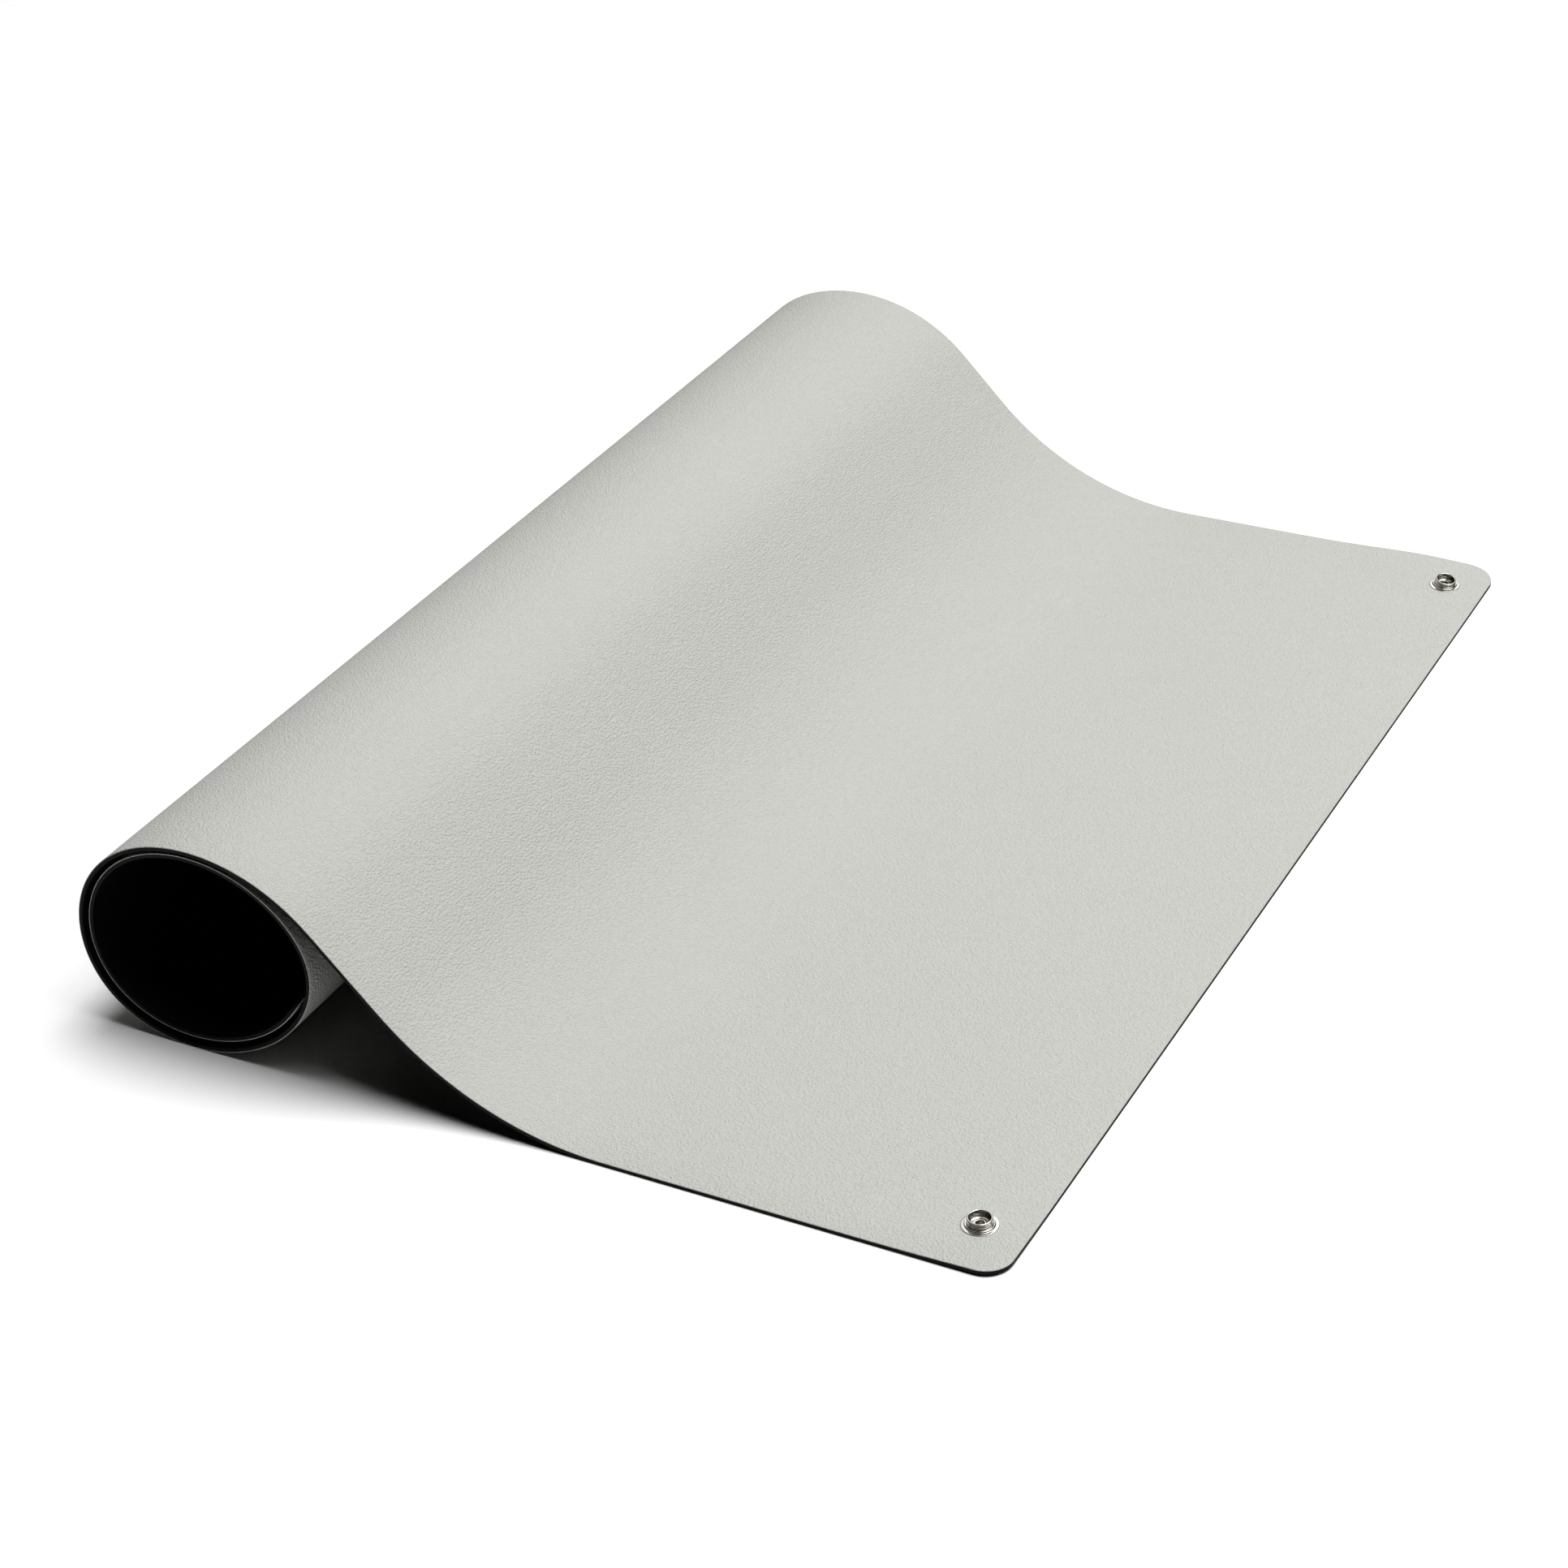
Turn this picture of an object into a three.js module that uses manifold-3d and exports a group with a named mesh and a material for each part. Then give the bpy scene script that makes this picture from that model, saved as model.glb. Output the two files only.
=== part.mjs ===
// Anti-static bench mat, 600 by 915 mm, lying with one end flat and the other end rolled up.
// Two bonded rubber layers, with a riveted press stud near each corner of the flat end.
// Millimetres. X runs from the roll to the flat end, Y along the roll, Z up from the bench.
import * as THREE from 'three';
import { mergeVertices } from 'three/addons/utils/BufferGeometryUtils.js';
import Module from 'manifold-3d';

const degrees = Math.PI / 180;

// The sheet
const matLength = 915;
const matWidth = 600;
const topLayerThickness = 0.4;
const baseLayerThickness = 1.6;
const cornerRadius = 11;

// How it lies: flat on the bench, then up a ramp and over a crest into the roll.
// Radii and angles are those of the top face.
const flatLength = 169;
const liftRadius = 132;
const liftAngle = 46 * degrees;
const crestRadius = 76.5;
const crestEnd = 7.5 * degrees;

// The roll: mean radius of its outer face, and how far it is oval and egg-shaped
const rollRadius = 54.2;
const rollOval = 14.3;
const rollOvalTilt = 12.5 * degrees;
const rollEgg = 5.8;
const rollEggTilt = 29.5 * degrees;

// Clear space between the turns where they lie closest, and half of what is added opposite
const turnGap = 0.4;
const turnSlack = 1.8;
const turnSlackHeading = 54 * degrees;

// Press studs: each is a ring on the top face, held by a hollow rivet from below
const studEndInset = 20;
const studSideInset = 25;
const studPlate = 0.45;
const studFlangeRadius = 7.4;
const studShoulderRadius = 5.85;
const studShoulderHeight = 1.5;
const studNeckRadius = 4.6;
const studNeckHeight = 2.3;
const studBeadRadius = 5;
const studCupRadius = 4.15;
const studHeight = 3.6;
const studRounding = 0.3;

const rivetTubeRadius = 1.95;
const rivetBoreRadius = 1.6;
const rivetHeadRadius = 7;
const rivetHeadThickness = 0.5;
const rivetHeadSetIn = 0.1;
const rivetCurl = 0.35;
const rivetClearance = 0.2;

// Facets
const bendStep = 5 * degrees;
const cornerSteps = 10;
const turnedSides = 32;
const roundingSteps = 2;

const matThickness = topLayerThickness + baseLayerThickness;

// A path along the top face of the mat, from the free edge towards the roll. Its heading is the
// angle from +X, and the mat's underside is on its left.
class MatPath {
  constructor(x, z, heading) {
    this.stations = [{ x, z, heading }];
    this.sheetUsed = 0;
  }

  get end() {
    return this.stations[this.stations.length - 1];
  }

  step(chord, turn) {
    const { x, z, heading } = this.end;
    this.stations.push({
      x: x + chord * Math.cos(heading + turn / 2),
      z: z + chord * Math.sin(heading + turn / 2),
      heading: heading + turn,
    });
  }

  straight(length) {
    this.step(length, 0);
    this.sheetUsed += length;
  }

  // One facet of an arc. A positive angle curls the underside inwards. The middle of the sheet
  // keeps its length.
  bend(radius, angle) {
    this.step(2 * radius * Math.sin(Math.abs(angle) / 2), angle);
    this.sheetUsed += (radius - Math.sign(angle) * matThickness / 2) * Math.abs(angle);
  }

  arc(radius, angle) {
    const facets = Math.ceil(Math.abs(angle) / bendStep);
    for (let i = 0; i < facets; i += 1) {
      this.bend(radius, angle / facets);
    }
  }
}

// Radius of the roll's outer face at a heading. It loses one pitch in each full turn, and the last
// term opens the turns on one side while they stay close on the other.
function rollRadiusAt(heading) {
  const pitch = matThickness + turnGap + turnSlack;
  const turns = (heading - Math.PI) / (2 * Math.PI);
  return rollRadius - pitch * turns
    + rollOval * Math.cos(2 * (heading - rollOvalTilt))
    + rollEgg * Math.cos(3 * (heading - rollEggTilt))
    + turnSlack / Math.PI * Math.cos(heading - turnSlackHeading);
}

// Over the crest and round the roll, until the path has used the given length of sheet.
function rollUp(path, sheetLength) {
  path.arc(crestRadius, liftAngle + crestEnd);
  for (;;) {
    const radius = rollRadiusAt(path.end.heading + bendStep / 2);
    const angleLeft = (sheetLength - path.sheetUsed) / (radius - matThickness / 2);
    if (angleLeft < 1.5 * bendStep) {
      path.bend(radius, angleLeft);
      return;
    }
    path.bend(radius, bendStep);
  }
}

// The ramp is as long as it must be for the roll to rest on the bench.
function rampLength() {
  const trial = new MatPath(0, 0, Math.PI - liftAngle);
  rollUp(trial, matLength - flatLength);
  const rollDepth = -Math.min(...trial.stations.map((station) => station.z));
  const liftRise = matThickness + liftRadius * (1 - Math.cos(liftAngle));
  return (rollDepth - liftRise) / Math.sin(liftAngle);
}

const matPath = new MatPath(0, matThickness, Math.PI);
matPath.straight(flatLength);
matPath.arc(liftRadius, -liftAngle);
matPath.straight(rampLength());
rollUp(matPath, matLength);

// The origin is on the bench, halfway between the roll's far side and the free edge.
const freeEdgeX = -Math.min(...matPath.stations.map((station) => station.x)) / 2;

const wasm = await Module();
wasm.setup();

function toSolid(geometry) {
  const bare = geometry.clone();
  bare.deleteAttribute('normal');
  bare.deleteAttribute('uv');
  const merged = mergeVertices(bare, 1e-4);
  return new wasm.Manifold(new wasm.Mesh({
    numProp: 3,
    vertProperties: new Float32Array(merged.attributes.position.array),
    triVerts: new Uint32Array(merged.index.array),
  }));
}

function toGeometry(solid) {
  const { vertProperties, triVerts } = solid.getMesh();
  const geometry = new THREE.BufferGeometry();
  geometry.setAttribute('position', new THREE.BufferAttribute(new Float32Array(vertProperties), 3));
  geometry.setIndex(new THREE.BufferAttribute(new Uint32Array(triVerts), 1));
  geometry.computeVertexNormals();
  return geometry;
}

// The face of the sheet at a depth below its top face.
function faceAtDepth(depth) {
  return matPath.stations.map(({ x, z, heading }) => new THREE.Vector2(
    freeEdgeX + x - depth * Math.sin(heading),
    z + depth * Math.cos(heading),
  ));
}

// The sheet between two depths, over the mat's whole width.
function band(upperDepth, lowerDepth) {
  const outline = new THREE.Shape([...faceAtDepth(upperDepth), ...faceAtDepth(lowerDepth).reverse()]);
  const geometry = new THREE.ExtrudeGeometry(outline, { depth: matWidth, bevelEnabled: false });
  geometry.rotateX(Math.PI / 2);
  geometry.translate(0, matWidth / 2, 0);
  return geometry;
}

// What rounds a square corner: the corner is at the origin, and the sheet lies towards -X and, in
// Y, towards the inward side, between the heights low and high.
function cornerCutter(inward, low, high) {
  const spare = 1;
  const outline = new THREE.Shape();
  outline.moveTo(-cornerRadius, 0);
  outline.absarc(-cornerRadius, inward * cornerRadius, cornerRadius, -inward * Math.PI / 2, 0, inward < 0);
  outline.lineTo(spare, inward * cornerRadius);
  outline.lineTo(spare, -inward * spare);
  outline.lineTo(-cornerRadius, -inward * spare);
  const geometry = new THREE.ExtrudeGeometry(outline, {
    depth: high - low,
    curveSegments: cornerSteps,
    bevelEnabled: false,
  });
  geometry.translate(0, -inward * matWidth / 2, low);
  return geometry;
}

// The rolled-in end is square to the sheet there, and the roll's hollow leaves room for the cutter.
function cornerCutters() {
  const rolledEnd = matPath.end;
  return [-1, 1].flatMap((inward) => {
    const free = cornerCutter(inward, -matThickness, 2 * matThickness);
    free.translate(freeEdgeX, 0, 0);
    const rolled = cornerCutter(inward, -turnGap / 2, matThickness + cornerRadius);
    rolled.rotateY(-rolledEnd.heading);
    rolled.translate(freeEdgeX + rolledEnd.x, 0, rolledEnd.z);
    return [free, rolled];
  });
}

const studs = [
  { name: 'front', y: studSideInset - matWidth / 2 },
  { name: 'back', y: matWidth / 2 - studSideInset },
];
const studX = freeEdgeX - studEndInset;

function upright(geometry) {
  return geometry.rotateX(Math.PI / 2);
}

function studDrill(radius, low, high, y) {
  const drill = upright(new THREE.CylinderGeometry(radius, radius, high - low, turnedSides));
  drill.translate(studX, y, (low + high) / 2);
  return drill;
}

// Room for a rivet: a hole through the sheet, and a seat for the head in the underside.
function rivetCutters({ y }) {
  return [
    studDrill(rivetTubeRadius + rivetClearance, -matThickness, 2 * matThickness, y),
    studDrill(rivetHeadRadius + rivetClearance, -matThickness, rivetHeadSetIn + rivetHeadThickness, y),
  ];
}

function layer(upperDepth, lowerDepth) {
  const cutters = [...cornerCutters(), ...studs.flatMap(rivetCutters)];
  const solid = cutters.reduce(
    (sheet, cutter) => sheet.subtract(toSolid(cutter)),
    toSolid(band(upperDepth, lowerDepth)),
  );
  return toGeometry(solid);
}

// Drawn from sheet metal: a flange and shoulder, a neck under the rolled bead, and a cup inside.
function studGeometry() {
  const holeRadius = rivetTubeRadius + rivetClearance;
  const beadRounding = (studBeadRadius - studCupRadius) / 2;
  const beadCentre = studBeadRadius - beadRounding;
  const outline = new THREE.Path();
  outline.moveTo(holeRadius, 0);
  outline.lineTo(studFlangeRadius, 0);
  outline.absarc(studFlangeRadius - studRounding, studPlate - studRounding, studRounding, 0, Math.PI / 2);
  outline.lineTo(studShoulderRadius + studRounding, studPlate);
  outline.lineTo(studShoulderRadius, studPlate + studRounding);
  outline.absarc(
    studShoulderRadius - studRounding, studShoulderHeight - studRounding, studRounding, 0, Math.PI / 2,
  );
  outline.lineTo(studNeckRadius, studNeckHeight);
  outline.absarc(beadCentre, studHeight - beadRounding, beadRounding, -Math.PI / 4, Math.PI);
  outline.lineTo(studCupRadius - studRounding, studPlate + 2 * studRounding);
  outline.lineTo(studCupRadius - 2 * studRounding, studPlate);
  outline.lineTo(holeRadius, studPlate);
  outline.lineTo(holeRadius, 0);
  return upright(new THREE.LatheGeometry(outline.getPoints(roundingSteps), turnedSides));
}

// The head sits in the underside, and the tube passes up through the mat and curls over the stud's plate.
function rivetGeometry() {
  const headTop = rivetHeadSetIn + rivetHeadThickness;
  const plateTop = matThickness + studPlate;
  const outline = new THREE.Path();
  outline.moveTo(0, rivetHeadSetIn);
  outline.lineTo(rivetHeadRadius - rivetHeadThickness / 2, rivetHeadSetIn);
  outline.lineTo(rivetHeadRadius, headTop - rivetHeadThickness / 2);
  outline.lineTo(rivetHeadRadius, headTop);
  outline.lineTo(rivetTubeRadius, headTop);
  outline.lineTo(rivetTubeRadius, plateTop);
  outline.lineTo(rivetTubeRadius + rivetCurl, plateTop);
  outline.absarc(rivetTubeRadius + rivetCurl, plateTop + rivetCurl, rivetCurl, -Math.PI / 2, Math.PI / 2);
  outline.lineTo(rivetBoreRadius + rivetCurl / 2, plateTop + 2 * rivetCurl);
  outline.lineTo(rivetBoreRadius, plateTop + rivetCurl);
  outline.lineTo(rivetBoreRadius, headTop);
  outline.lineTo(0, headTop);
  return upright(new THREE.LatheGeometry(outline.getPoints(roundingSteps), turnedSides));
}

const greyRubber = new THREE.MeshStandardMaterial({ color: 0xc6c7c2, roughness: 0.62, metalness: 0 });
const blackRubber = new THREE.MeshStandardMaterial({ color: 0x161617, roughness: 0.55, metalness: 0 });
const nickel = new THREE.MeshStandardMaterial({ color: 0xd6d2c8, roughness: 0.18, metalness: 1 });

function part(name, geometry, material) {
  const mesh = new THREE.Mesh(geometry, material);
  mesh.name = name;
  return mesh;
}

const benchMat = new THREE.Group();
benchMat.add(part('top_layer', layer(0, topLayerThickness), greyRubber));
benchMat.add(part('base_layer', layer(topLayerThickness, matThickness), blackRubber));
for (const { name, y } of studs) {
  const stud = part(`stud_${name}`, studGeometry(), nickel);
  stud.position.set(studX, y, matThickness);
  const rivet = part(`rivet_${name}`, rivetGeometry(), nickel);
  rivet.position.set(studX, y, 0);
  benchMat.add(stud, rivet);
}

export default benchMat;
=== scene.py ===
"""The looks of a rubber bench mat that lies flat at one end and is rolled up at the other."""

import math
from types import SimpleNamespace

import bmesh
import bpy
import numpy as np
from bpy.props import FloatProperty, FloatVectorProperty, PointerProperty
from bpy.types import Operator, Panel, PropertyGroup
from mathutils import Matrix, Vector


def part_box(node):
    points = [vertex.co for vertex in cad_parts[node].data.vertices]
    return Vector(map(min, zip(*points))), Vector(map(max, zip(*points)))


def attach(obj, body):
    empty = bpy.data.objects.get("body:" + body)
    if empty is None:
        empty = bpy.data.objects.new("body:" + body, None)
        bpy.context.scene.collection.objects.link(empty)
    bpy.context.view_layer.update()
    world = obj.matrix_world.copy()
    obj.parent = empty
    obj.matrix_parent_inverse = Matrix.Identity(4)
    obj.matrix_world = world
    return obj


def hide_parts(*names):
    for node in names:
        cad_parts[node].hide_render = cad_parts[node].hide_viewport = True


bl_info = {
    "name": "Bench Mat",
    "version": (1, 0, 0),
    "blender": (4, 5, 0),
    "location": "3D View > Sidebar > Bench Mat",
    "description": "Builds a two-layer rubber bench mat, partly rolled up, with its press studs",
    "category": "Add Mesh",
}

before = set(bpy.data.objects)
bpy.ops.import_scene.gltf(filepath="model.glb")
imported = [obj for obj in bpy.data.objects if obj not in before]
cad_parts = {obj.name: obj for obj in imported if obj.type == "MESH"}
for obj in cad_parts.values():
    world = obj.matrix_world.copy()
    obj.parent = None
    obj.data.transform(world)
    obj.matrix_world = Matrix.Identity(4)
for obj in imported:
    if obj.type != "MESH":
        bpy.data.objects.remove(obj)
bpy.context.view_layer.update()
free_edge_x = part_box("top_layer")[1].x


def length(name, description, default):
    return FloatProperty(
        name=name, description=description, default=default, unit="LENGTH", precision=5
    )


def angle(name, description, degrees):
    return FloatProperty(
        name=name, description=description, default=math.radians(degrees), unit="ROTATION"
    )


def colour(name, description, default):
    return FloatVectorProperty(
        name=name, description=description, default=default, subtype="COLOR", size=3, min=0, max=1
    )


def share(name, description, default):
    return FloatProperty(
        name=name, description=description, default=default, min=0, max=1, subtype="FACTOR"
    )


class SheetSizes(PropertyGroup):
    """The rubber sheet as it is cut."""

    length: length("Length", "Length of the mat, along its middle", 0.915)
    width: length("Width", "Width of the mat, along the roll", 0.6)
    top_thickness: length("Top layer", "Thickness of the grey top layer", 0.0004)
    base_thickness: length("Base layer", "Thickness of the black base layer", 0.0016)
    corner_radius: length("Corner radius", "Radius of the cut corners", 0.011)
    back_corner_radius: length("Back corner", "Radius of the free corner at the back", 0.016)
    edge_wear: length("Edge rounding", "How far the cut edges are worn round", 0.00012)


class LieShape(PropertyGroup):
    """How the front edge of the mat lies. Radii are those of the top face."""

    flat_length: length("Flat", "Length that lies flat, from the free edge", 0.1682)
    lift_radius: length("Lift radius", "Radius where the mat leaves the bench", 0.1333)
    lift_angle: angle("Ramp angle", "Slope of the ramp up to the roll", 46)
    crest_radius: length("Crest radius", "Radius where the ramp turns over into the roll", 0.0766)
    crest_end: angle("Crest end", "How far past level the crest radius holds", 8.6)
    roll_radius: length("Roll radius", "Mean radius of the roll's outer face", 0.0541)
    roll_oval: length("Roll oval", "How far the roll is squashed oval", 0.0148)
    roll_oval_tilt: angle("Oval tilt", "Heading of the sheet where the oval is flattest", 12.2)
    roll_egg: length("Roll egg", "How far the roll is egg-shaped", 0.0066)
    roll_egg_tilt: angle("Egg tilt", "Heading of the sheet where the egg is flattest", 28.7)
    turn_gap: length("Turn gap", "Clear space between the turns where they lie closest", 0.0004)
    turn_slack: length("Turn slack", "Half of the extra space between turns on the far side", 0.0018)
    turn_slack_heading: angle("Slack heading", "Heading of the sheet where the turns close up", 51)
    easing: length("Easing", "Length over which one bend passes into the next", 0.004)


class BackChange(PropertyGroup):
    """What is added to the sizes of the front edge to give those of the back edge."""

    flat_length: length("Flat", "Added to the length that lies flat", -0.004)
    lift_radius: length("Lift radius", "Added to the radius where the mat leaves the bench", 0.012)
    lift_angle: angle("Ramp angle", "Added to the slope of the ramp", 0.4)
    crest_radius: length("Crest radius", "Added to the radius of the crest", 0.0072)
    crest_end: angle("Crest end", "Added to how far past level the crest radius holds", 8.6)
    roll_radius: length("Roll radius", "Added to the roll's mean radius", -0.0009)
    roll_oval_tilt: angle("Oval tilt", "Added to the heading where the oval is flattest", -2.4)
    roll_egg: length("Roll egg", "Added to how far the roll is egg-shaped", -0.0009)
    roll_egg_tilt: angle("Egg tilt", "Added to the heading where the egg is flattest", 2.3)


class SheetUnevenness(PropertyGroup):
    """How far the flat end strays from level."""

    front_corner_lift: length("Front corner lift", "Height of the front corner off the bench", 0.001)
    back_edge_lift: length("Back edge lift", "Height of the wave in the back edge", 0.0016)
    back_edge_wave: length("Back edge wave", "From the free edge to the top of that wave", 0.04)
    reach: length("Reach", "How far a lift fades out", 0.03)


class RubberFinish(PropertyGroup):
    """The two rubbers."""

    top_colour: colour("Top colour", "Grey of the top layer", (0.385, 0.389, 0.366))
    base_colour: colour("Base colour", "Black of the base layer", (0.0035, 0.0035, 0.0038))
    grain_size: length("Grain size", "Width of one pebble of the top layer's grain", 0.0011)
    grain_depth: length("Grain depth", "Depth of the creases between the pebbles", 0.00028)
    top_roughness: share("Top roughness", "Roughness of the grey rubber", 0.56)
    base_roughness: share("Base roughness", "Roughness of the black rubber", 0.62)


class StudSizes(PropertyGroup):
    """A press stud and the hollow rivet that holds it. Heights are from the top face of the mat."""

    end_inset: length("End inset", "From the free edge to the stud's axis", 0.02)
    side_inset: length("Side inset", "From the mat's side to the stud's axis", 0.025)
    plate: length("Plate", "Thickness of the stud's metal", 0.00035)
    flange_radius: length("Flange radius", "Radius of the flange on the mat", 0.0073)
    step_radius: length("Step radius", "Radius of the low step above the flange", 0.00585)
    step_height: length("Step height", "Height of the low step", 0.00095)
    shoulder_radius: length("Shoulder radius", "Radius of the shoulder above the step", 0.0051)
    shoulder_height: length("Shoulder height", "Height of the shoulder", 0.0019)
    neck_radius: length("Neck radius", "Radius under the bead", 0.0043)
    neck_height: length("Neck height", "Height of the narrowest place under the bead", 0.0024)
    bead_radius: length("Bead radius", "Radius of the rolled bead that a socket grips", 0.005)
    cup_radius: length("Cup radius", "Radius inside the bead", 0.00415)
    height: length("Height", "Height of the stud", 0.0036)
    tube_radius: length("Tube radius", "Outer radius of the rivet's tube", 0.00195)
    bore_radius: length("Bore radius", "Inner radius of the rivet's tube", 0.0016)
    head_radius: length("Head radius", "Radius of the rivet's head, under the mat", 0.007)
    head_thickness: length("Head thickness", "Thickness of the rivet's head", 0.0005)
    head_set_in: length("Head set in", "How far the head lies inside the underside", 0.0001)
    curl: length("Curl", "Radius of the rivet's curled lip", 0.00035)
    clearance: length("Clearance", "Room round the rivet in the mat", 0.0002)
    back_lean: angle("Back stud lean", "How far the back stud's bead is bent over", 9)
    back_lean_heading: angle("Lean heading", "Way it leans, turned from the free edge to the front", 22)
    metal_colour: colour("Metal colour", "Colour of the nickel plate", (0.56, 0.545, 0.51))
    metal_roughness: share("Metal roughness", "Roughness of the nickel plate", 0.16)


class StageLook(PropertyGroup):
    """The camera, the lights and the floor."""

    camera_from_free_edge: FloatVectorProperty(
        name="Camera place",
        description="Place of the camera from the free edge's front corner",
        default=(0.397575, -0.867626, 0.789584),
        subtype="TRANSLATION",
        size=3,
    )
    camera_heading: angle("Camera heading", "Turn of the camera to the left of straight on", 28.828)
    camera_pitch: angle("Camera pitch", "How far down the camera looks", 31.086)
    camera_roll: angle("Camera roll", "Tilt of the camera about its own axis", 2.765)
    camera_lens: FloatProperty(
        name="Lens", description="Focal length on a 36 mm sensor", default=77.43, unit="CAMERA"
    )
    overhead_strength: FloatProperty(
        name="Overhead",
        description="Strength of the broad light overhead, in watts per square metre",
        default=2.3,
    )
    overhead_spread: angle("Overhead spread", "How wide the light overhead looks from the bench", 32)
    overhead_tilt: angle("Overhead tilt", "How far the light overhead leans to the back", 8)
    overhead_lean: angle("Overhead lean", "How far the light overhead leans to the free edge", 2)
    side_power: FloatProperty(
        name="Side", description="Power of the light beside the free edge", default=30, unit="POWER"
    )
    back_power: FloatProperty(
        name="Back", description="Power of the light behind the mat", default=20, unit="POWER"
    )
    card_power: FloatProperty(
        name="Card",
        description="Power of the bright card overhead, which shows in shiny faces only",
        default=48,
        unit="POWER",
    )
    floor_colour: colour("Floor", "Colour of the floor", (0.8, 0.8, 0.8))


class BenchMatSettings(PropertyGroup):
    """Everything about the mat and its stage that can be changed."""

    sheet: PointerProperty(type=SheetSizes)
    lie: PointerProperty(type=LieShape)
    back: PointerProperty(type=BackChange)
    unevenness: PointerProperty(type=SheetUnevenness)
    rubber: PointerProperty(type=RubberFinish)
    stud: PointerProperty(type=StudSizes)
    stage: PointerProperty(type=StageLook)


class Section:
    """One cut across the roll: the sheet's middle line, in even steps from the free edge."""

    step = 0.0005
    rounds = 3  # of setting the length of the ramp so that the roll comes to rest on the bench
    smoothing = 3  # how many easing lengths the smoothing of the bends reaches each way

    def __init__(self, sheet, lie):
        self.half = (sheet.top_thickness + sheet.base_thickness) / 2
        self.count = round(sheet.length / self.step)
        ramp = 0.0
        for _ in range(self.rounds):
            self.follow(lie, ramp)
            ramp -= self.lowest_of_roll(lie) / math.sin(lie.lift_angle)
        self.follow(lie, ramp)

    def bends(self, lie, ramp):
        """The curvature of each step. Curling the underside inwards is positive."""
        lift = self.half + lie.lift_radius
        crest = lie.crest_radius - self.half
        lift_start = lie.flat_length
        lift_end = lift_start + lift * lie.lift_angle
        crest_start = lift_end + ramp
        crest_end = crest_start + crest * (lie.lift_angle + lie.crest_end)
        bends = self.held(crest_start, crest_end) / crest - self.held(lift_start, lift_end) / lift
        heading = math.pi + lie.crest_end
        for i, rolled in enumerate(self.held(crest_end, self.count * self.step)):
            if rolled:
                bend = rolled / (self.roll_radius(lie, heading) - self.half)
                heading += bend * self.step
                bends[i] += bend
        return bends

    def held(self, start, end):
        """The share of each step that lies between two places along the sheet."""
        edges = np.arange(self.count + 1) * self.step
        return np.diff(np.clip(edges, start, end)) / self.step

    def roll_radius(self, lie, heading):
        pitch = 2 * self.half + lie.turn_gap + lie.turn_slack
        return (
            lie.roll_radius
            - pitch * (heading - math.pi) / (2 * math.pi)
            + lie.roll_oval * math.cos(2 * (heading - lie.roll_oval_tilt))
            + lie.roll_egg * math.cos(3 * (heading - lie.roll_egg_tilt))
            + lie.turn_slack / math.pi * math.cos(heading - lie.turn_slack_heading)
        )

    def follow(self, lie, ramp):
        bends = self.bends(lie, ramp)
        reach = round(self.smoothing * lie.easing / self.step)
        weights = np.exp(-0.5 * (np.arange(-reach, reach + 1) * self.step / lie.easing) ** 2)
        bends = np.convolve(np.pad(bends, reach, "edge"), weights / weights.sum(), "valid")
        turns = bends * self.step
        self.heading = math.pi + np.concatenate([[0], np.cumsum(turns)])
        middle = self.heading[:-1] + turns / 2
        self.x = np.concatenate([[0], np.cumsum(np.cos(middle))]) * self.step
        self.z = self.half + np.concatenate([[0], np.cumsum(np.sin(middle))]) * self.step
        self.along = np.arange(self.count + 1) * self.step

    def lowest_of_roll(self, lie):
        """Height of the roll's lowest outer face, which comes to rest on the bench."""
        rolled = self.heading > math.pi + lie.crest_end
        return (self.z[rolled] - self.half * np.cos(self.heading[rolled])).min()

    def at(self, along):
        return (np.interp(along, self.along, line) for line in (self.x, self.z, self.heading))


class MatForm:
    """Where each point of the sheet lies, given how far it is along and across the sheet and how
    deep below the top face."""

    def __init__(self, settings):
        self.sheet, self.unevenness = settings.sheet, settings.unevenness
        self.thickness = self.sheet.top_thickness + self.sheet.base_thickness
        front = {name: getattr(settings.lie, name) for name in LieShape.__annotations__}
        back = {name: size + getattr(settings.back, name, 0) for name, size in front.items()}
        self.front = Section(self.sheet, SimpleNamespace(**front))
        self.back = Section(self.sheet, SimpleNamespace(**back))

    def lift(self, along, across):
        """Height by which the flat end stands off the bench."""
        uneven = self.unevenness
        front = (along**2 + across**2) / uneven.reach**2
        from_wave, from_back = along - uneven.back_edge_wave, self.sheet.width - across
        back = (from_wave**2 + from_back**2) / uneven.reach**2
        return uneven.front_corner_lift * np.exp(-front) + uneven.back_edge_lift * np.exp(-back)

    def places(self, along, across, depth):
        back_share = across / self.sheet.width
        (x0, z0, turn0), (x1, z1, turn1) = self.front.at(along), self.back.at(along)
        turn = turn0 + (turn1 - turn0) * back_share
        below = depth - self.thickness / 2
        x = free_edge_x + x0 + (x1 - x0) * back_share - below * np.sin(turn)
        z = z0 + (z1 - z0) * back_share + below * np.cos(turn) + self.lift(along, across)
        return np.stack([x, across - self.sheet.width / 2, z], axis=1)

    def seat(self, along, across):
        """The place and tilt of a piece that sits on the top face."""
        near = 0.005
        around = np.array([(0, 0), (-near, 0), (near, 0), (0, -near), (0, near)]) + (along, across)
        centre, outer, inner, front, back = self.places(around[:, 0], around[:, 1], np.zeros(5))
        toward_edge, toward_back = Vector(outer - inner).normalized(), Vector(back - front).normalized()
        up = toward_edge.cross(toward_back).normalized()
        axes = Matrix((toward_edge, up.cross(toward_edge), up)).transposed().to_4x4()
        return Matrix.Translation(Vector(centre)) @ axes


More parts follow.
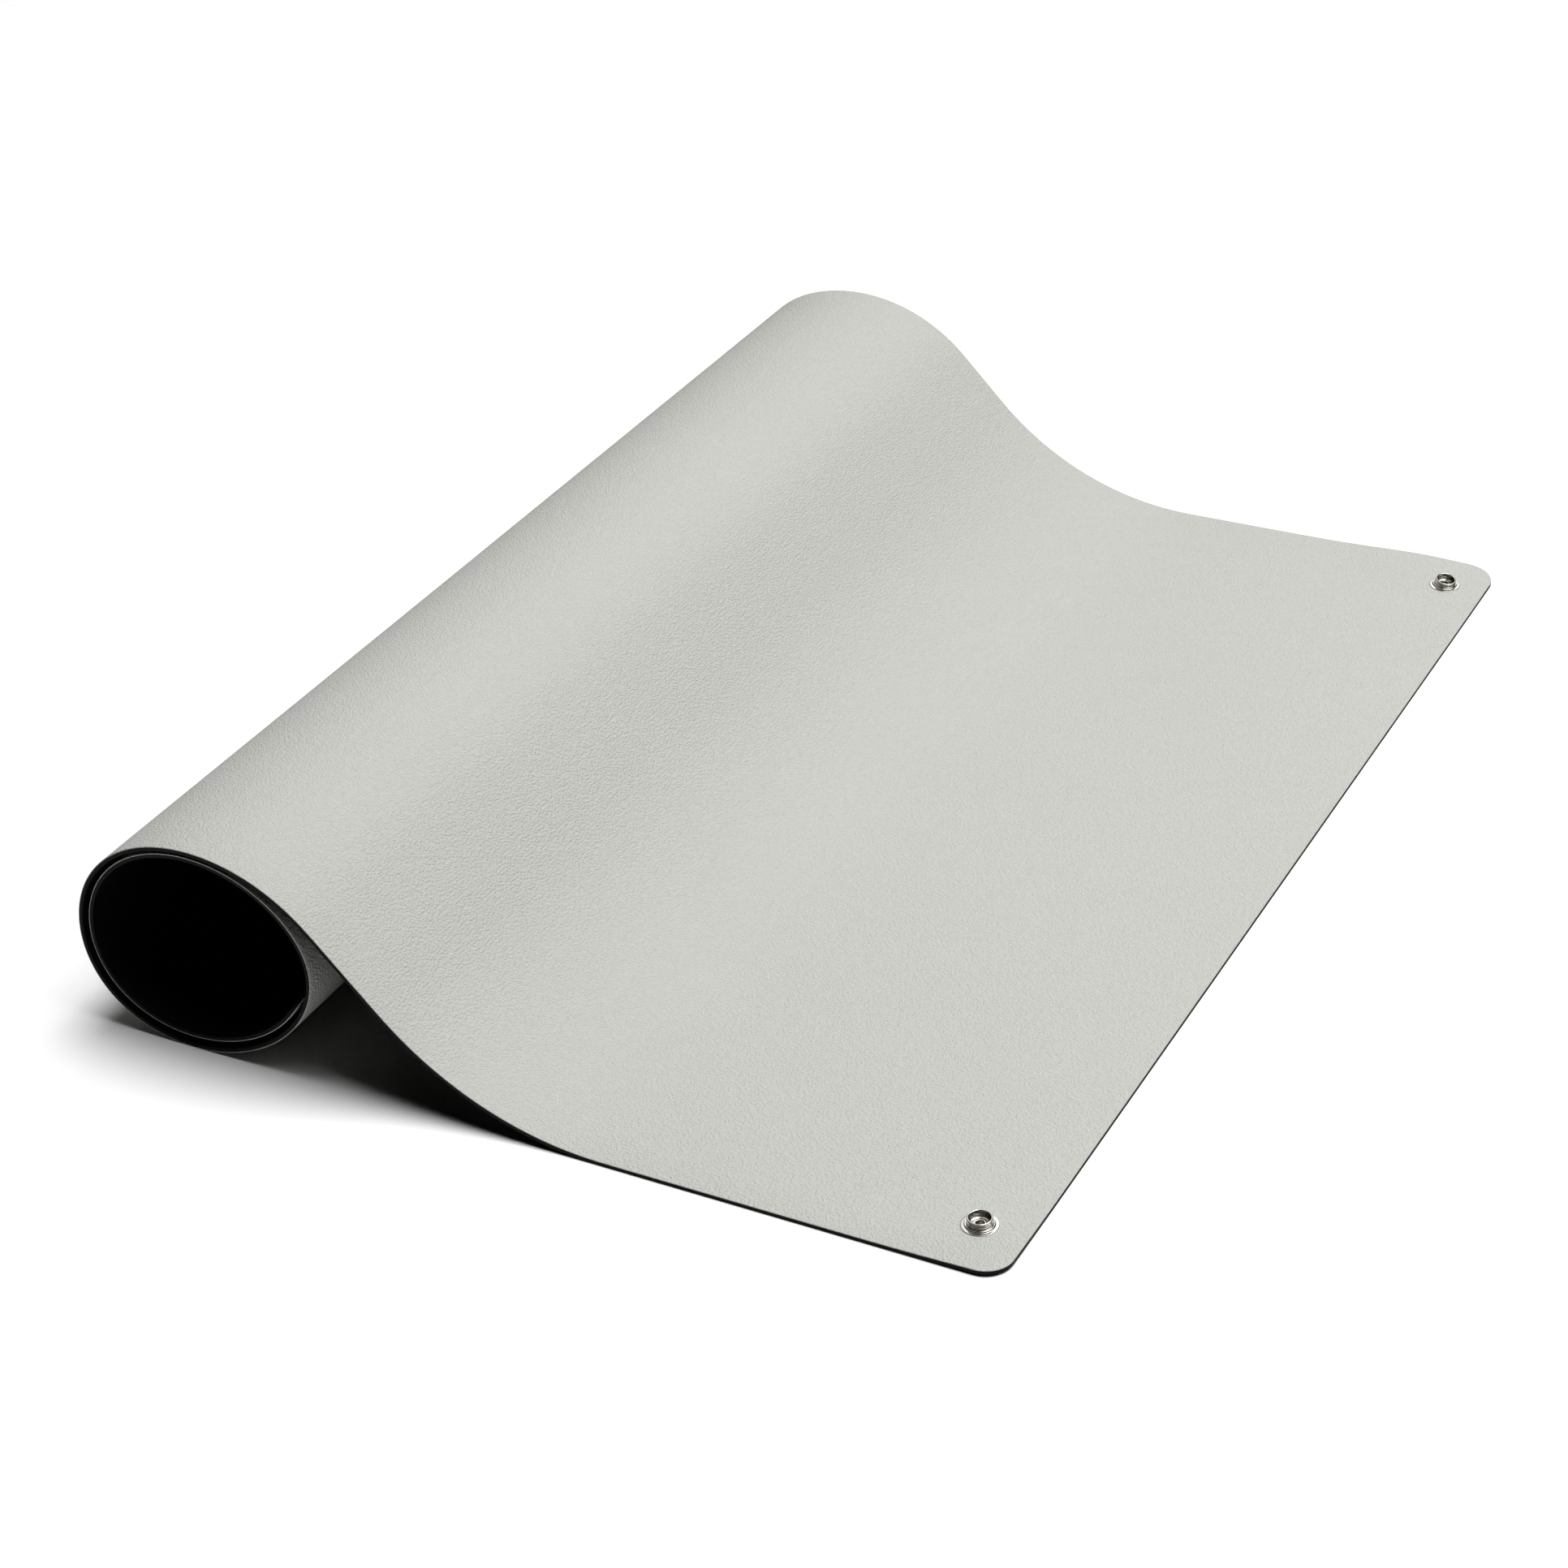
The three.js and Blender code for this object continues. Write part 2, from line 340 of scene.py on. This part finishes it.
class SheetMesh:
    """Collects points on the sheet and the faces between them."""

    def __init__(self):
        self.points = []
        self.faces = []

    def add(self, along, across, depth):
        """Adds points and gives their numbers, in the shape that along and across have."""
        along, across, depth = np.broadcast_arrays(along, across, depth)
        start = sum(len(block) for block in self.points)
        self.points.append(np.stack([along.ravel(), across.ravel(), depth.ravel()], axis=1))
        return np.arange(start, start + along.size).reshape(along.shape)

    def cover(self, numbers, open_cells=None):
        """Faces over a grid of points, but for the cells left open."""
        a, b, c, d = numbers[:-1, :-1], numbers[:-1, 1:], numbers[1:, 1:], numbers[1:, :-1]
        shut = np.ones(a.shape, bool) if open_cells is None else ~open_cells
        self.faces.extend(np.stack([a[shut], b[shut], c[shut], d[shut]], axis=1).tolist())

    def bridge(self, ring, other):
        """Faces between two closed rings of as many points."""
        around, others = np.roll(ring, -1), np.roll(other, -1)
        self.faces.extend(np.stack([ring, around, others, other], axis=1).tolist())

    def object(self, name, form):
        along, across, depth = np.concatenate(self.points).T
        return mesh_object(name, form.places(along, across, depth), self.faces)


def mesh_object(name, points, faces, crease=math.radians(35), weld=0.0):
    """An object of smooth faces, with sharp edges where they meet at more than the crease angle."""
    mesh = bpy.data.meshes.new(name)
    mesh.from_pydata(points.tolist(), [], faces)
    shape = bmesh.new()
    shape.from_mesh(mesh)
    if weld:
        bmesh.ops.remove_doubles(shape, verts=shape.verts, dist=weld)
    bmesh.ops.recalc_face_normals(shape, faces=shape.faces)
    shape.to_mesh(mesh)
    shape.free()
    mesh.shade_smooth()
    mesh.set_sharp_from_angle(angle=crease)
    made = bpy.data.objects.new(name, mesh)
    bpy.context.scene.collection.objects.link(made)
    return made


class SheetCut:
    """The outline of the sheet and the lines of its mesh, with finer cells round the studs."""

    corner_steps = 10
    window = 0.0085  # half the side of the square of fine cells round a stud
    window_cells = 8
    flat_cell = 0.004
    bent_cell = 0.0025
    cross_cell = 0.0095

    def __init__(self, settings):
        sheet, stud = settings.sheet, settings.stud
        self.length, self.width, self.radius = sheet.length, sheet.width, sheet.corner_radius
        self.back_radius = sheet.back_corner_radius
        fine = 2 * self.window / self.window_cells
        near, far = stud.end_inset - self.window, stud.end_inset + self.window
        left, right = stud.side_inset - self.window, stud.side_inset + self.window
        flat_end, bent_end = settings.lie.flat_length, self.length - self.radius
        self.rows = lines(
            (self.radius, near, far, flat_end, bent_end),
            (self.flat_cell, fine, self.flat_cell, self.bent_cell),
        )
        self.columns = lines(
            (left, right, self.width - right, self.width - left), (fine, self.cross_cell, fine)
        )
        row = self.corner_steps + int(np.abs(self.rows - near).argmin())
        last_column = len(self.columns) - self.window_cells
        self.stud_windows = [
            (row, 1, stud.end_inset, stud.side_inset),
            (row, last_column, stud.end_inset, self.width - stud.side_inset),
        ]

    def grid(self, inset):
        """How far along and across the sheet its grid points lie, with the outline drawn in."""
        turned = np.linspace(0, math.pi / 2, self.corner_steps + 1)[:-1]
        ends = self.radius - (self.radius - inset) * np.cos(turned)
        rows = np.concatenate([ends, self.rows, self.length - ends[::-1]])[:, None]
        rolled_end = rows > self.length / 2
        from_end = np.where(rolled_end, self.length - rows, rows)
        front = self.side(from_end, inset, self.radius)
        back = self.side(from_end, inset, np.where(rolled_end, self.radius, self.back_radius))
        middle = np.tile(self.columns, (len(rows), 1))
        across = np.hstack([front, middle, self.width - back])
        return np.broadcast_to(rows, across.shape), across

    def side(self, from_end, inset, radius):
        """How far in the outline lies, at a distance from the end of the sheet."""
        into_corner = np.clip(radius - from_end, 0, radius - inset)
        return radius - np.sqrt((radius - inset) ** 2 - into_corner**2)

    def window_of(self, grid, row, column):
        return grid[row : row + self.window_cells + 1, column : column + self.window_cells + 1]


def lines(stops, cells, least=1e-6):
    """Places from the first stop to the last, evenly spaced between stops at about each cell's size.
    Stops closer than the least distance count as one."""
    spans = [
        np.linspace(start, end, max(1, round((end - start) / cell)) + 1)[1:]
        for start, end, cell in zip(stops, stops[1:], cells)
        if end - start > least
    ]
    return np.concatenate([stops[:1], *spans])


def perimeter(grid):
    return np.concatenate([grid[0, :-1], grid[:-1, -1], grid[-1, :0:-1], grid[:0:-1, 0]])


def quarter(start, end, steps=4):
    """Pairs of shares from 0 to 1 that follow a quarter circle from one angle to the other."""
    return [(math.sin(turn), math.cos(turn)) for turn in np.linspace(start, end, steps + 1)]


def layer_mesh(cut, rim, bore):
    """A closed layer of the sheet. The rim is a list of how far in and how deep its edge lies, from
    the upper face to the lower, and the bore is a list of radii and depths of the studs' holes."""
    mesh = SheetMesh()
    faces = [mesh.add(*cut.grid(inset), depth) for inset, depth in (rim[0], rim[-1])]
    closed = np.zeros((faces[0].shape[0] - 1, faces[0].shape[1] - 1), bool)
    for row, column, _, _ in cut.stud_windows:
        closed[row : row + cut.window_cells, column : column + cut.window_cells] = True
    for face in faces:
        mesh.cover(face, closed)
    rings = [perimeter(faces[0])]
    for inset, depth in rim[1:-1]:
        along, across = cut.grid(inset)
        rings.append(mesh.add(perimeter(along), perimeter(across), depth))
    rings.append(perimeter(faces[1]))
    for row, column, stud_along, stud_across in cut.stud_windows:
        along, across = (perimeter(cut.window_of(g, row, column)) for g in cut.grid(0))
        turn = np.arctan2(across - stud_across, along - stud_along)
        hole = [
            mesh.add(stud_along + radius * np.cos(turn), stud_across + radius * np.sin(turn), depth)
            for radius, depth in bore
        ]
        upper, lower = (perimeter(cut.window_of(face, row, column)) for face in faces)
        for ring, other in zip([upper, *hole], [*hole, lower]):
            mesh.bridge(ring, other)
    for ring, other in zip(rings, rings[1:]):
        mesh.bridge(ring, other)
    return mesh


class Outline:
    """The half section of a turned piece, as radii and heights."""

    def __init__(self, radius, height):
        self.points = [(radius, height)]

    def to(self, *points):
        self.points.extend(points)
        return self

    def arc(self, radius, height, size, start, end, steps=8):
        """Along an arc about a centre, between two angles in degrees."""
        for turn in np.radians(np.linspace(start, end, steps + 1)):
            self.points.append((radius + size * math.cos(turn), height + size * math.sin(turn)))
        return self

    def turned(self, name, lean, sides=96):
        """The object that this outline makes when it is turned about its axis."""
        radii, heights = np.array(self.points).T
        turns = np.arange(sides) * 2 * math.pi / sides
        x, y = np.outer(radii, np.cos(turns)), np.outer(radii, np.sin(turns))
        points = np.stack([x, y, np.broadcast_to(heights[:, None], x.shape)], axis=2).reshape(-1, 3)
        points = lean.bend(points)
        rings = np.arange(len(points)).reshape(x.shape)
        faces = []
        for ring, other in zip(rings, rings[1:]):
            faces.extend(
                np.stack([ring, np.roll(ring, -1), np.roll(other, -1), other], axis=1).tolist()
            )
        return mesh_object(name, points, faces, weld=1e-7)


class Lean:
    """Bends the upper part of a turned piece over to one side."""

    def __init__(self, tilt, heading, foot, top):
        self.tilt, self.toward = tilt, np.array([math.cos(heading), -math.sin(heading)])
        self.foot, self.top = foot, top

    def bend(self, points):
        rise = np.clip((points[:, 2] - self.foot) / (self.top - self.foot), 0, 1)
        turn = self.tilt * rise * rise * (3 - 2 * rise)  # with no kink at the foot or the top
        out, up = points[:, :2] @ self.toward, points[:, 2]
        moved = points.copy()
        moved[:, :2] += np.outer(out * (np.cos(turn) - 1) + up * np.sin(turn), self.toward)
        moved[:, 2] = up * np.cos(turn) - out * np.sin(turn)
        return moved


class Value:
    """What a node gives out. Python's operators on a number that changes add Math nodes."""

    def __init__(self, finish, socket):
        self.finish, self.socket = finish, socket

    def math(self, operation, *values):
        return self.finish.add("ShaderNodeMath", {"operation": operation}, dict(enumerate(values)))

    def __add__(self, other):
        return self.math("ADD", self, other)

    __radd__ = __add__

    def __sub__(self, other):
        return self.math("SUBTRACT", self, other)

    def __rsub__(self, other):
        return self.math("SUBTRACT", other, self)

    def __mul__(self, other):
        return self.math("MULTIPLY", self, other)

    __rmul__ = __mul__

    def between(self, low, high):
        """A number that is low where this one is 0, and high where it is 1."""
        return low + (high - low) * self

    def ramp(self, start, end):
        """Goes from 0, where this number is at the start, to 1, where it is at the end, softly."""
        return self.finish.add(
            "ShaderNodeMapRange",
            {"interpolation_type": "SMOOTHSTEP"},
            {"Value": self, "From Min": start, "From Max": end},
        )


class Finish:
    """A material that is built one node at a time."""

    two_turns = 4 * math.pi

    def __init__(self, name):
        self.material = bpy.data.materials.new(name)
        self.material.use_nodes = True
        self.tree = self.material.node_tree
        self.tree.nodes.clear()
        self.place = self.add("ShaderNodeTexCoord", output="Object")

    def add(self, kind, settings=None, values=None, output=0):
        """Adds a node, makes its settings, then feeds its sockets. Gives one of its outputs, where
        it has any."""
        node = self.tree.nodes.new(kind)
        for setting, value in (settings or {}).items():
            setattr(node, setting, value)
        for socket, value in (values or {}).items():
            if isinstance(value, Value):
                self.tree.links.new(value.socket, node.inputs[socket])
            else:
                node.inputs[socket].default_value = value
        return Value(self, node.outputs[output]) if node.outputs else None

    def noise(self, size, detail):
        """Soft noise from 0 to 1 with patches about as wide as the size in metres."""
        return self.add(
            "ShaderNodeTexNoise",
            {"noise_dimensions": "3D"},
            {"Vector": self.place, "Scale": 1 / size, "Detail": detail, "Roughness": 0.5},
        )

    def shaded(self, base, shade):
        """A colour made darker or lighter by a share that changes over the surface."""
        shades = {"Red": shade, "Green": shade, "Blue": shade}
        tint = self.add("ShaderNodeCombineColor", None, shades)
        factor, first, second, result = 0, 6, 7, 2  # where a Mix node has its sockets for colours
        settings = {"data_type": "RGBA", "blend_type": "MULTIPLY"}
        values = {factor: 1.0, first: (*base, 1), second: tint}
        return self.add("ShaderNodeMix", settings, values, output=result)

    def bump(self, height, depth, strength=1.0):
        """A bump as deep as the depth where the height falls from 1 to 0."""
        return self.add(
            "ShaderNodeBump", None, {"Strength": strength, "Distance": depth, "Height": height}
        )

    def spread(self, value, reach):
        """A vector that points every way, up to the reach, as the value changes."""
        turn = value * self.two_turns
        return self.add(
            "ShaderNodeCombineXYZ",
            None,
            {
                "X": reach * turn.math("SINE", turn),
                "Y": reach * turn.math("COSINE", turn),
                "Z": reach * (2 * value - 1),
            },
        )

    def vector(self, operation, *values, output=0):
        """A Vector Math node."""
        settings = {"operation": operation}
        return self.add("ShaderNodeVectorMath", settings, dict(enumerate(values)), output)

    def surface(self, **values):
        """Ends the material in one surface, whose sockets are named with low lines for spaces."""
        named = {name.replace("_", " "): value for name, value in values.items()}
        shader = self.add("ShaderNodeBsdfPrincipled", None, named)
        self.add("ShaderNodeOutputMaterial", None, {"Surface": shader})
        return self.material


def grey_rubber(rubber):
    """Light grey rubber, pressed with a fine pebble grain, with painted shade darkening the creases
    between the pebbles.
    """
    finish = Finish("grey_pebbled_rubber")
    grain = rubber.grain_size
    drift_size, drift_reach = 2.5 * grain, 0.15 * grain
    swell_size, swell_share = 0.8 * grain, 0.35
    cloud_size = 0.09
    crease_roughness = 0.12
    drift = finish.spread(finish.noise(drift_size, detail=1), drift_reach)
    from_middle = finish.add(
        "ShaderNodeTexVoronoi",
        {"feature": "SMOOTH_F1"},
        {
            "Vector": finish.vector("ADD", finish.place, drift),
            "Scale": 1 / grain,
            "Smoothness": 0.25,
            "Randomness": 0.85,
        },
        output="Distance",
    )
    pebble = from_middle.ramp(start=0.8, end=0.0)
    swell = finish.noise(swell_size, detail=1)
    cloud = finish.noise(cloud_size, detail=2)
    # The creases between pebbles are painted up to 5% darker, which is painted shade; the cloud is the
    # rubber's own tone, which differs at random.
    shade = pebble.between(0.95, 1) * cloud.between(0.985, 1.015)
    return finish.surface(
        Base_Color=finish.shaded(rubber.top_colour, shade),
        Roughness=rubber.top_roughness + crease_roughness * (1 - pebble),
        Specular_IOR_Level=0.3,
        Normal=finish.bump(pebble + swell_share * swell, rubber.grain_depth),
    )


def black_rubber(rubber):
    """Black rubber with the dull skin that its backing sheet left, faintly mottled."""
    finish = Finish("black_moulded_rubber")
    skin_size, skin_depth, cloud_size = 0.0009, 0.00003, 0.03
    skin = finish.noise(skin_size, detail=3)
    cloud = finish.noise(cloud_size, detail=3)
    shade = cloud.between(0.8, 1.2) * skin.between(0.85, 1.15)
    change = cloud.between(-0.05, 0.05) + skin.between(-0.04, 0.04)
    return finish.surface(
        Base_Color=finish.shaded(rubber.base_colour, shade),
        Roughness=rubber.base_roughness + change,
        Specular_IOR_Level=0.14,
        Normal=finish.bump(skin, skin_depth),
    )


def nickel_plate(stud):
    """Bright nickel plate, with the fine rings that pressing and polishing leave round the axis."""
    finish = Finish("bright_nickel_plate")
    ring_spacing, ring_depth = 0.00024166, 0.000004
    haze_size, haze_roughness = 0.0012, 0.08
    from_axis = finish.vector("MULTIPLY", finish.place, (1.0, 1.0, 0.0))
    radius = finish.vector("LENGTH", from_axis, output="Value")
    rings = radius.math("SINE", radius * (2 * math.pi / ring_spacing))
    haze = finish.noise(haze_size, detail=2)
    shade = haze.between(0.92, 1) * rings.between(0.97, 1)
    return finish.surface(
        Base_Color=finish.shaded(stud.metal_colour, shade),
        Metallic=1.0,
        Roughness=stud.metal_roughness + haze_roughness * haze,
        Normal=finish.bump(rings, ring_depth, strength=0.3),
    )


def settings_of(context):
    return context.scene.bench_mat


def finish_piece(piece, material, slot, *nodes):
    """Gives a piece its material, hangs it under the root body and hides the solids of the given nodes.
    """
    piece.data.materials.append(material)
    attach(piece, "root")
    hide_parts(*nodes)


class BENCHMAT_OT_layers(Operator):
    """Makes the grey top layer and the black base layer of the mat"""

    bl_idname = "bench_mat.layers"
    bl_label = "Rubber Layers"

    def execute(self, context):
        settings = settings_of(context)
        sheet, stud, rubber = settings.sheet, settings.stud, settings.rubber
        form, cut = MatForm(settings), SheetCut(settings)
        thickness, wear = form.thickness, sheet.edge_wear
        hole = stud.tube_radius + stud.clearance
        seat = stud.head_radius + stud.clearance
        seat_depth = thickness - stud.head_set_in - stud.head_thickness
        upper = [(wear * (1 - a), wear * (1 - b)) for a, b in quarter(0, math.pi / 2)]
        top = layer_mesh(
            cut,
            [*upper, (0, sheet.top_thickness)],
            [(hole, 0), (hole, sheet.top_thickness)],
        ).object("grey_top_layer", form)
        lower = [(wear * (1 - a), thickness - wear * (1 - b)) for a, b in quarter(math.pi / 2, 0)]
        base = layer_mesh(
            cut,
            [(0, sheet.top_thickness), *lower],
            [(hole, sheet.top_thickness), (hole, seat_depth), (seat, seat_depth), (seat, thickness)],
        ).object("black_base_layer", form)
        finish_piece(top, grey_rubber(rubber), "grey_rubber", "top_layer")
        finish_piece(base, black_rubber(rubber), "black_rubber", "base_layer")
        return {"FINISHED"}


def stud_outline(stud):
    """Pressed from sheet: a flange and shoulder, a neck under the rolled bead, and a cup inside."""
    hole = stud.tube_radius + stud.clearance
    edge = stud.plate / 2
    foot_round, lip_round, neck_round = 0.0003, 0.00022, 0.00035
    groove_round, groove_rise = 0.0002, 0.00012
    cup_taper, cup_round, cup_floor = 0.0001, 0.0006, stud.plate + 0.0003
    ring_round, ring_rise, ring_radius = 0.00028, 0.0001, stud.tube_radius + 0.0012
    bead = (stud.bead_radius - stud.cup_radius) / 2
    outline = Outline(hole, 0).to((stud.flange_radius - edge, 0))
    outline.arc(stud.flange_radius - edge, edge, edge, -90, 90)
    outline.arc(stud.step_radius + foot_round, stud.plate + foot_round, foot_round, -90, -180)
    outline.arc(stud.step_radius - lip_round, stud.step_height - lip_round, lip_round, 0, 100)
    groove = stud.step_height + groove_rise
    outline.arc(stud.shoulder_radius + groove_round, groove, groove_round, -90, -180)
    outline.arc(stud.shoulder_radius - lip_round, stud.shoulder_height - lip_round, lip_round, 0, 100)
    outline.arc(stud.neck_radius + neck_round, stud.neck_height, neck_round, 235, 130)
    outline.arc(stud.bead_radius - bead, stud.height - bead, bead, -60, 180, steps=16)
    cup_wall = stud.cup_radius - cup_taper
    outline.to((cup_wall, cup_floor + cup_round))
    outline.arc(cup_wall - cup_round, cup_floor + cup_round, cup_round, 0, -80)
    outline.arc(ring_radius, stud.plate + ring_rise, ring_round, 20, 160)
    return outline.to((hole, stud.plate), (hole, 0))


def rivet_outline(stud, thickness):
    """The head lies in the underside, and the tube goes up through the mat and curls over the plate."""
    low = stud.head_set_in - thickness
    top = low + stud.head_thickness
    plate = stud.plate
    edge = stud.head_thickness / 2
    outline = Outline(0, low).to((stud.head_radius - edge, low))
    outline.arc(stud.head_radius - edge, low + edge, edge, -90, 0)
    outline.to((stud.head_radius, top), (stud.tube_radius, top), (stud.tube_radius, plate))
    outline.arc(stud.tube_radius + stud.curl, plate + stud.curl, stud.curl, -90, 110)
    outline.arc(stud.bore_radius + stud.curl, plate + stud.curl, stud.curl, 110, 180)
    return outline.to((stud.bore_radius, top), (0, top))


class BENCHMAT_OT_studs(Operator):
    """Makes the press studs and the hollow rivets that hold them"""

    bl_idname = "bench_mat.studs"
    bl_label = "Press Studs"

    def execute(self, context):
        settings = settings_of(context)
        stud = settings.stud
        form = MatForm(settings)
        metal = nickel_plate(stud)
        sides = {
            "front": (stud.side_inset, 0.0),
            "back": (settings.sheet.width - stud.side_inset, stud.back_lean),
        }
        for name, (across, tilt) in sides.items():
            seat = form.seat(stud.end_inset, across)
            lean = Lean(tilt, stud.back_lean_heading, stud.plate, stud.neck_height)
            rivet = rivet_outline(stud, form.thickness)
            pieces = {
                f"stud_{name}": stud_outline(stud).turned(f"press_stud_{name}", lean),
                f"rivet_{name}": rivet.turned(f"hollow_rivet_{name}", lean),
            }
            for node, piece in pieces.items():
                piece.matrix_world = seat
                finish_piece(piece, metal, "nickel_plate", node)
        return {"FINISHED"}


class BENCHMAT_OT_stage(Operator):
    """Makes the floor, the lights and the camera"""

    bl_idname = "bench_mat.stage"
    bl_label = "Stage"

    def execute(self, context):
        settings = settings_of(context)
        look = settings.stage
        self.camera(context, look, settings.sheet.width)
        self.floor(look)
        self.lights(context, look)
        self.backdrop(context)
        context.scene.view_settings.view_transform = "Standard"
        context.scene.view_settings.look = "Medium High Contrast"
        return {"FINISHED"}

    def camera(self, context, look, width):
        camera = bpy.data.objects.new("camera", bpy.data.cameras.new("camera"))
        context.scene.collection.objects.link(camera)
        heading, pitch, roll = look.camera_heading, look.camera_pitch, look.camera_roll
        reach = math.cos(pitch)
        forward = Vector((-math.sin(heading) * reach, math.cos(heading) * reach, -math.sin(pitch)))
        level = Vector((math.cos(heading), math.sin(heading), 0))
        down = forward.cross(level)
        across = math.cos(roll) * level + math.sin(roll) * down
        upright = math.sin(roll) * level - math.cos(roll) * down
        place = Vector(look.camera_from_free_edge) + Vector((free_edge_x, -width / 2, 0))
        turned = Matrix((across, upright, -forward)).transposed().to_4x4()
        camera.matrix_world = Matrix.Translation(place) @ turned
        camera.data.lens = look.camera_lens
        camera.data.sensor_width = 36
        camera.data.clip_start, camera.data.clip_end = 0.01, 50
        context.scene.camera = camera

    def floor(self, look):
        reach, mottle_size = 6.0, 0.4
        corners = [(-reach, -reach, 0), (reach, -reach, 0), (reach, reach, 0), (-reach, reach, 0)]
        floor = mesh_object("floor", np.array(corners), [(0, 1, 2, 3)])
        finish = Finish("pale_floor")
        shade = finish.noise(mottle_size, detail=2).between(0.985, 1.015)
        matt = finish.surface(
            Base_Color=finish.shaded(look.floor_colour, shade),
            Roughness=0.9,
            Specular_IOR_Level=0.2,
        )
        floor.data.materials.append(matt)

    def lights(self, context, look):
        overhead = bpy.data.objects.new("overhead", bpy.data.lights.new("overhead", "SUN"))
        context.scene.collection.objects.link(overhead)
        overhead.data.energy, overhead.data.angle = look.overhead_strength, look.overhead_spread
        overhead.rotation_euler.x = -look.overhead_tilt
        overhead.rotation_euler.y = look.overhead_lean
        overhead.visible_glossy = False
        middle = (0, 0, 0)
        self.softbox(
            context, "side", size=1.7, power=look.side_power, place=(0.9, 0.2, 1.6), target=(0.1, 0, 0)
        )
        self.softbox(
            context, "back", size=2.4, power=look.back_power, place=(-0.6, 3.4, 2.2), target=middle
        )
        card = self.softbox(
            context, "card", size=4.0, power=look.card_power, place=(-0.9, 1.2, 3.0), target=middle
        )
        card.visible_diffuse = False

    def backdrop(self, context):
        """White, and seen by the camera alone."""
        world = bpy.data.worlds.new("backdrop")
        world.use_nodes = True
        world.node_tree.nodes["Background"].inputs["Color"].default_value = (1, 1, 1, 1)
        seen = world.cycles_visibility
        seen.diffuse = seen.glossy = seen.transmission = seen.scatter = False
        context.scene.world = world

    def softbox(self, context, name, size, power, place, target):
        """A square light at a place, turned to a target."""
        light = bpy.data.objects.new(name, bpy.data.lights.new(name, "AREA"))
        context.scene.collection.objects.link(light)
        light.data.shape = "SQUARE"
        light.data.size = size
        light.data.energy = power
        light.location = place
        light.rotation_euler = (Vector(target) - Vector(place)).to_track_quat("-Z", "Y").to_euler()
        return light


class BENCHMAT_PT_panel(Panel):
    """Lists the settings of the mat, with the button that makes each group of pieces"""

    bl_label = "Bench Mat"
    bl_idname = "BENCHMAT_PT_panel"
    bl_space_type = "VIEW_3D"
    bl_region_type = "UI"
    bl_category = "Bench Mat"

    def draw(self, context):
        settings = settings_of(context)
        for group, operator in self.groups():
            box = self.layout.box()
            values = getattr(settings, group)
            box.label(text=values.__doc__.splitlines()[0])
            for name in type(values).__annotations__:
                box.prop(values, name)
            if operator:
                box.operator(operator)

    @staticmethod
    def groups():
        return (
            ("sheet", None),
            ("lie", None),
            ("back", None),
            ("unevenness", None),
            ("rubber", BENCHMAT_OT_layers.bl_idname),
            ("stud", BENCHMAT_OT_studs.bl_idname),
            ("stage", BENCHMAT_OT_stage.bl_idname),
        )


classes = (
    SheetSizes,
    LieShape,
    BackChange,
    SheetUnevenness,
    RubberFinish,
    StudSizes,
    StageLook,
    BenchMatSettings,
    BENCHMAT_OT_layers,
    BENCHMAT_OT_studs,
    BENCHMAT_OT_stage,
    BENCHMAT_PT_panel,
)


def register():
    for item in classes:
        bpy.utils.register_class(item)
    bpy.types.Scene.bench_mat = PointerProperty(type=BenchMatSettings)


def unregister():
    del bpy.types.Scene.bench_mat
    for item in reversed(classes):
        bpy.utils.unregister_class(item)


def main():
    register()
    bpy.ops.bench_mat.layers()
    bpy.ops.bench_mat.studs()
    bpy.ops.bench_mat.stage()


if __name__ == "__main__":
    main()
